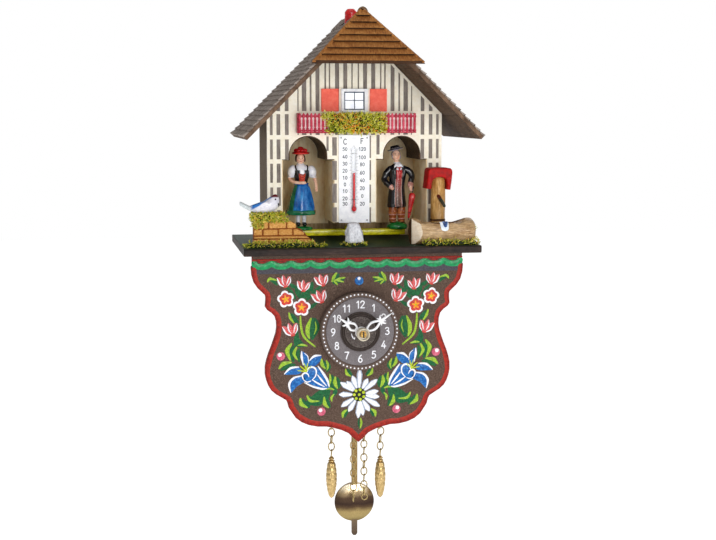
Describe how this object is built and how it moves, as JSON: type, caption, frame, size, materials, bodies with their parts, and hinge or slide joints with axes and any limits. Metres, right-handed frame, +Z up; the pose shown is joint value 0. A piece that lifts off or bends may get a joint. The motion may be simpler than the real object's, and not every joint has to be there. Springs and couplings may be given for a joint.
{
  "type": "weather house",
  "caption": "Wall-hung wooden weather house with two figures on a gut-hung arm, a thermometer and a key-wound pendulum clock below.",
  "frame": {"origin": "centre of the hanger hole at the back face of the house's rear panel", "axes": "+Z up, +Y into the wall, +X to the viewer's right"},
  "size_m": [0.1186, 0.0905, 0.271],
  "materials": {
    "green_platform_wood": "dark green stain, near-black moulded edge",
    "front_wall_wood": "taupe stain, matt",
    "cream_timber": "cream paint, semi-matt",
    "olive_wood": "olive-brown stain",
    "tan_wood": "bare light wood",
    "weathered_roof_wood": "grey-brown stained shingles",
    "warm_roof_wood": "warm brown stained shingles",
    "red_paint": "red gloss paint",
    "gut": "twisted gut, translucent",
    "yellow_paint": "yellow paint",
    "woman_paint": "hand-painted, glossy",
    "man_paint": "hand-painted, glossy",
    "white_card": "white lacquered card",
    "tube_glass": "clear glass",
    "red_liquid": "dyed spirit",
    "window_white": "moulded white",
    "window_pane": "grey-blue pane",
    "coral_paint": "coral red, satin",
    "crimson_paint": "crimson, satin",
    "flower_foam": "flocked moss and flowers",
    "brick_paint": "moulded bricks, orange tan",
    "moss_foam": "flocked moss",
    "bird_paint": "painted, satin",
    "stone_grey": "rough moulded stone",
    "log_wood": "bark and cut wood",
    "post_wood": "golden brown turned wood",
    "spout_wood": "dark painted peg",
    "plaque_wood": "brown-grey speckled ground, painted flowers",
    "dial_wood": "dark grey speckled, white numerals",
    "hand_white": "white moulded",
    "nut_cream": "pale cream collar",
    "movement_brass": "satin brass",
    "movement_steel": "plain steel",
    "pendulum_bronze": "aged brass strip",
    "bob_brass": "polished brass disc",
    "case_wood": "dark brown stain",
    "chain_brass": "wire links",
    "weight_brass": "cast fir-cone weights"
  },
  "bodies": {
    "house": {"platform": "green_platform_wood", "front_wall": "front_wall_wood", "timber_lattice": "cream_timber", "side_walls": "olive_wood", "rear_panel": "tan_wood", "left_roof": "weathered_roof_wood", "right_roof": "weathered_roof_wood", "hip_roof": "warm_roof_wood", "chimney_base": "red_paint", "thermometer_card": "white_card", "thermometer_tube": "tube_glass", "thermometer_liquid": "red_liquid", "window_frame": "window_white", "window_glazing": "window_pane", "shutters": "coral_paint", "balcony_rails": "crimson_paint", "flower_box": "flower_foam", "garden_wall": "brick_paint", "garden_moss": "moss_foam", "bird": "bird_paint", "garden_stone": "stone_grey", "log_trough": "log_wood", "well_post": "post_wood", "well_hood": "red_paint", "well_spout": "spout_wood", "plaque": "plaque_wood", "dial": "dial_wood", "movement_case": "case_wood", "case_back": "case_wood", "front_plate": "movement_brass", "back_plate": "movement_brass", "plate_pillars": "movement_steel", "chain_eyes": "movement_steel"},
    "adjuster": {"adjusting_knob": "red_paint", "gut_string": "gut"},
    "figures": {"figure_arm": "yellow_paint", "woman_figure": "woman_paint", "man_figure": "man_paint", "umbrella": "red_paint"},
    "minute": {"minute_hand": "hand_white", "hand_nut": "nut_cream", "cannon_pinion": "movement_brass"},
    "hour": {"hour_hand": "hand_white", "hour_wheel": "movement_brass"},
    "minute_gear": {"minute_wheel": "movement_brass"},
    "winder": {"winding_arbor": "movement_brass"},
    "spring_barrel": {"barrel": "movement_brass", "mainspring": "movement_steel"},
    "second_arbor": {"second_wheel": "movement_brass"},
    "third_arbor": {"third_wheel": "movement_brass"},
    "escape_arbor": {"escape_wheel": "movement_brass"},
    "pendulum": {"pallet_anchor": "movement_steel", "pendulum_rod": "pendulum_bronze", "pendulum_bob": "bob_brass"},
    "left_weight_hang": {"left_weight_chain": "chain_brass", "left_weight": "weight_brass"},
    "right_weight_hang": {"right_weight_chain": "chain_brass", "right_weight": "weight_brass"},
    "left_chain_hang": {"left_free_chain": "chain_brass"},
    "right_chain_hang": {"right_free_chain": "chain_brass"}
  },
  "joints": [
    {"name": "knob_turn", "type": "hinge", "parent": "house", "child": "adjuster", "pos_m": [0, -0.027, 0.061], "axis": [0, 0, 1], "range_deg": [-8, 8]},
    {"name": "figure_swing", "type": "hinge", "parent": "adjuster", "child": "figures", "pos_m": [0, -0.027, -0.048], "axis": [0, 0, 1], "range_deg": [-20, 20]},
    {"name": "minute_turn", "type": "hinge", "parent": "house", "child": "minute", "pos_m": [0, -0.06, -0.0963], "axis": [0, 1, 0], "continuous": true},
    {"name": "hour_turn", "type": "hinge", "parent": "house", "child": "hour", "pos_m": [0, -0.055, -0.0963], "axis": [0, 1, 0], "continuous": true},
    {"name": "minute_wheel_turn", "type": "hinge", "parent": "house", "child": "minute_gear", "pos_m": [-0.0105, -0.044, -0.0963], "axis": [0, 1, 0], "continuous": true},
    {"name": "winding_turn", "type": "hinge", "parent": "house", "child": "winder", "pos_m": [0, -0.06, -0.0963], "axis": [0, 1, 0], "continuous": true},
    {"name": "escape_turn", "type": "hinge", "parent": "house", "child": "escape_arbor", "pos_m": [0.00651, -0.03, -0.07684], "axis": [0, 1, 0], "continuous": true},
    {"name": "third_turn", "type": "hinge", "parent": "house", "child": "third_arbor", "pos_m": [0.01035, -0.028, -0.08196], "axis": [0, 1, 0], "continuous": true},
    {"name": "second_turn", "type": "hinge", "parent": "house", "child": "second_arbor", "pos_m": [0.0086, -0.024, -0.09028], "axis": [0, 1, 0], "continuous": true},
    {"name": "barrel_turn", "type": "hinge", "parent": "house", "child": "spring_barrel", "pos_m": [0, -0.02, -0.0963], "axis": [0, 1, 0], "continuous": true},
    {"name": "pendulum_swing", "type": "hinge", "parent": "house", "child": "pendulum", "pos_m": [0, -0.037, -0.0823], "axis": [0, 1, 0], "range_deg": [-5, 5]},
    {"name": "left_weight_swing", "type": "hinge", "parent": "house", "child": "left_weight_hang", "pos_m": [-0.0128, -0.0429, -0.1336], "axis": [0, 1, 0], "range_deg": [-5.5, 8]},
    {"name": "right_weight_swing", "type": "hinge", "parent": "house", "child": "right_weight_hang", "pos_m": [0.0126, -0.0429, -0.1336], "axis": [0, 1, 0], "range_deg": [-8, 4]},
    {"name": "left_chain_swing", "type": "hinge", "parent": "house", "child": "left_chain_hang", "pos_m": [-0.0018, -0.0452, -0.1336], "axis": [0, 1, 0], "range_deg": [-1.5, 6]},
    {"name": "right_chain_swing", "type": "hinge", "parent": "house", "child": "right_chain_hang", "pos_m": [0.0037, -0.0452, -0.1336], "axis": [0, 1, 0], "range_deg": [-4, 1.5]}
  ],
  "couplings": [
    {"joint": "hour_turn", "follows": "minute_turn", "ratio": 0.083333},
    {"joint": "minute_wheel_turn", "follows": "minute_turn", "ratio": -0.33333},
    {"joint": "third_turn", "follows": "escape_turn", "ratio": -0.14286},
    {"joint": "second_turn", "follows": "escape_turn", "ratio": 0.019048},
    {"joint": "barrel_turn", "follows": "escape_turn", "ratio": -0.0031746}
  ]
}
